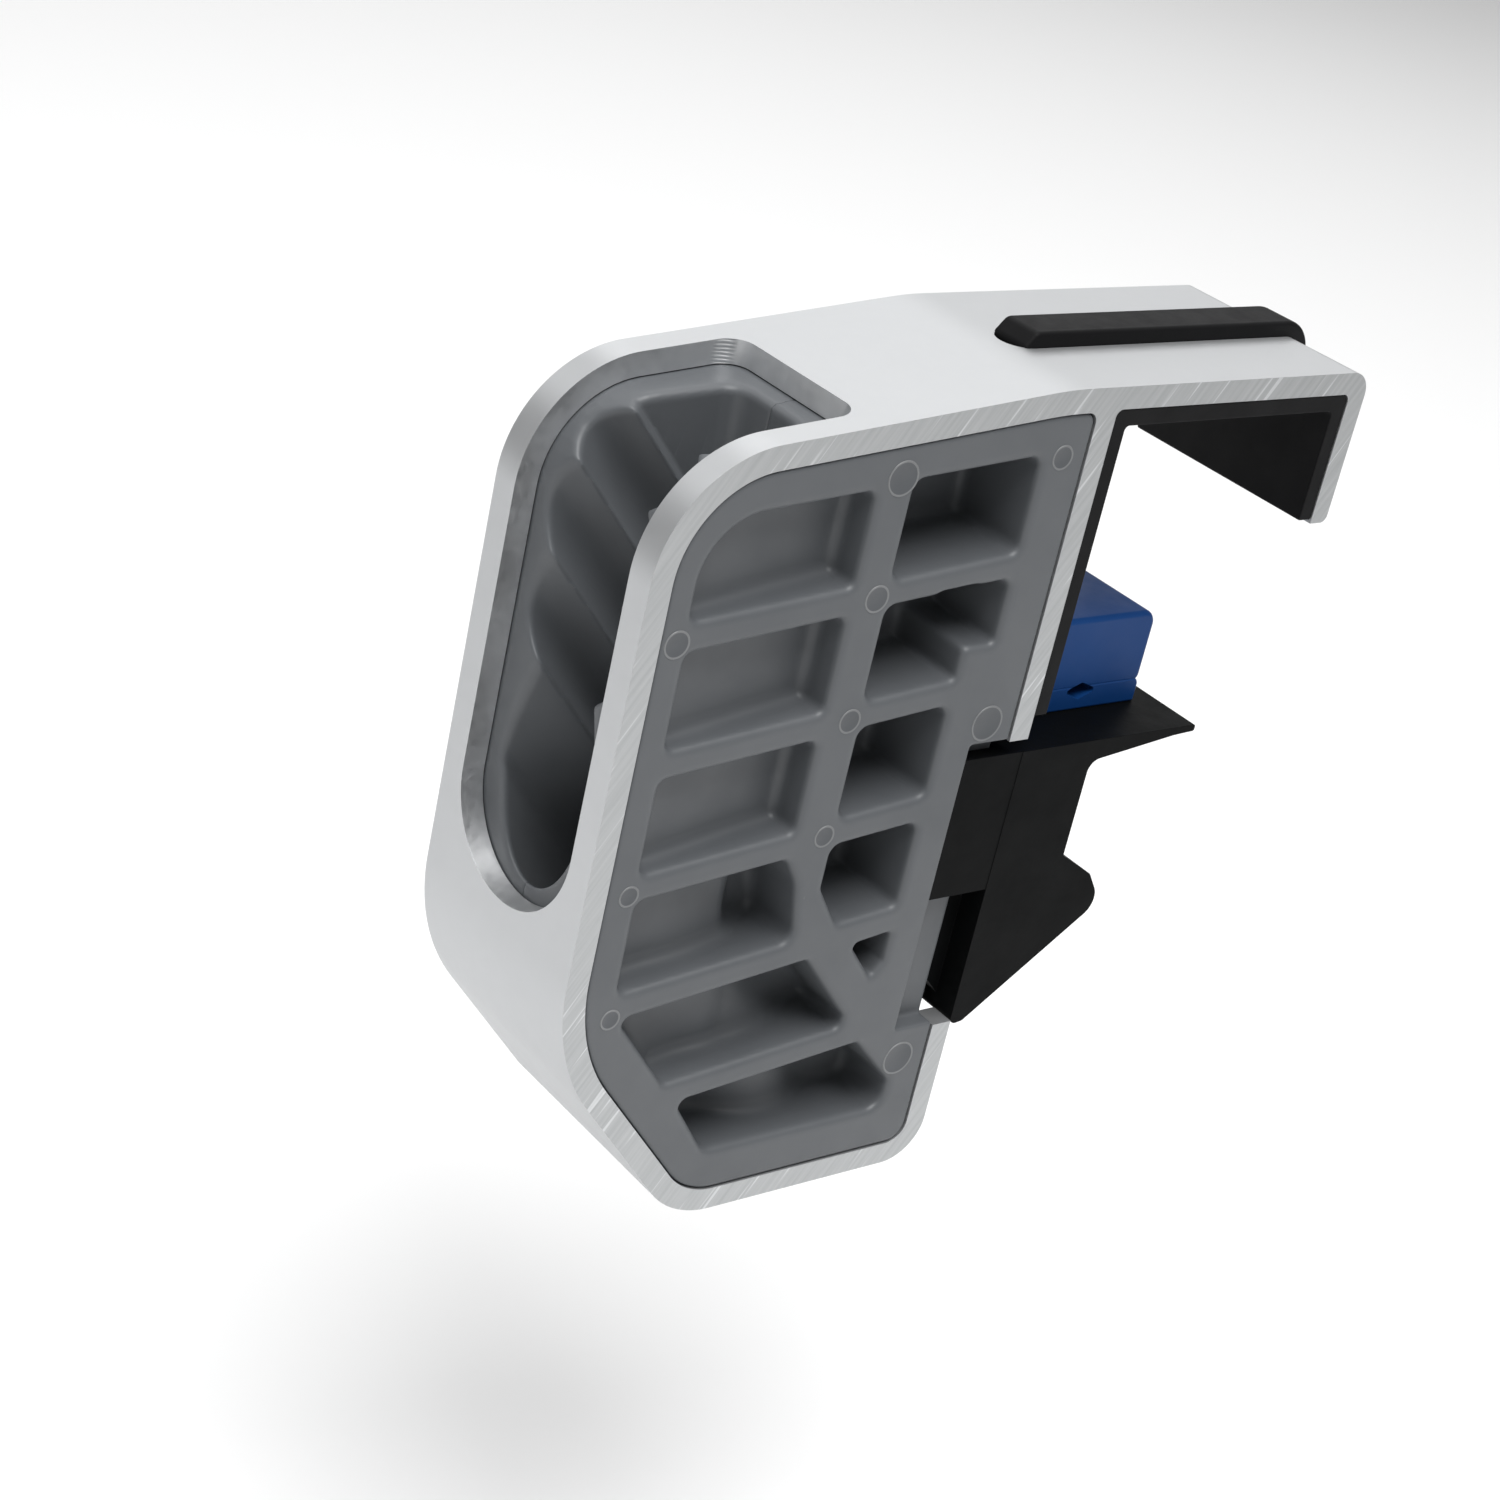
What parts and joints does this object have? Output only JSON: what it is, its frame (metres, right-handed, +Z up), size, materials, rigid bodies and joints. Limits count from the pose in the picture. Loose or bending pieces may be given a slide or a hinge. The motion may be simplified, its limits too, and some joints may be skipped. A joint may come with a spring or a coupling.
{
  "type": "rail-mounted rope cleat",
  "caption": "Hook-shaped aluminium rope cleat for a rectangular rail, with ribbed V jaws and a sprung locking latch.",
  "frame": {"origin": "middle of the rail seat: the underside of the rubber liner in the hook", "axes": "+X across the rail from the rope jaws to the hook's lip, +Y along the rail, +Z up"},
  "size_m": [0.1063, 0.03, 0.1072],
  "materials": {
    "aluminium": "satin anodised",
    "jaw_plastic": "satin moulded",
    "screw_steel": "plain",
    "liner_rubber": "matte",
    "latch_plastic": "matte moulded",
    "bumper_rubber": "satin",
    "spring_steel": "plain"
  },
  "bodies": {
    "root": {"body_extrusion": "aluminium", "jaw_near": "jaw_plastic", "jaw_far": "jaw_plastic", "jaw_screws": "screw_steel", "rail_liner": "liner_rubber", "latch_spring": "spring_steel"},
    "latch": {"latch": "latch_plastic", "latch_bumper": "bumper_rubber"}
  },
  "joints": [
    {"name": "latch_slide", "type": "slide", "parent": "root", "child": "latch", "axis": [0, 0, -1], "range_m": [0, 0.016], "stiffness_N_per_m": 300, "springref_m": -0.012, "deforming": ["latch_spring"]}
  ]
}
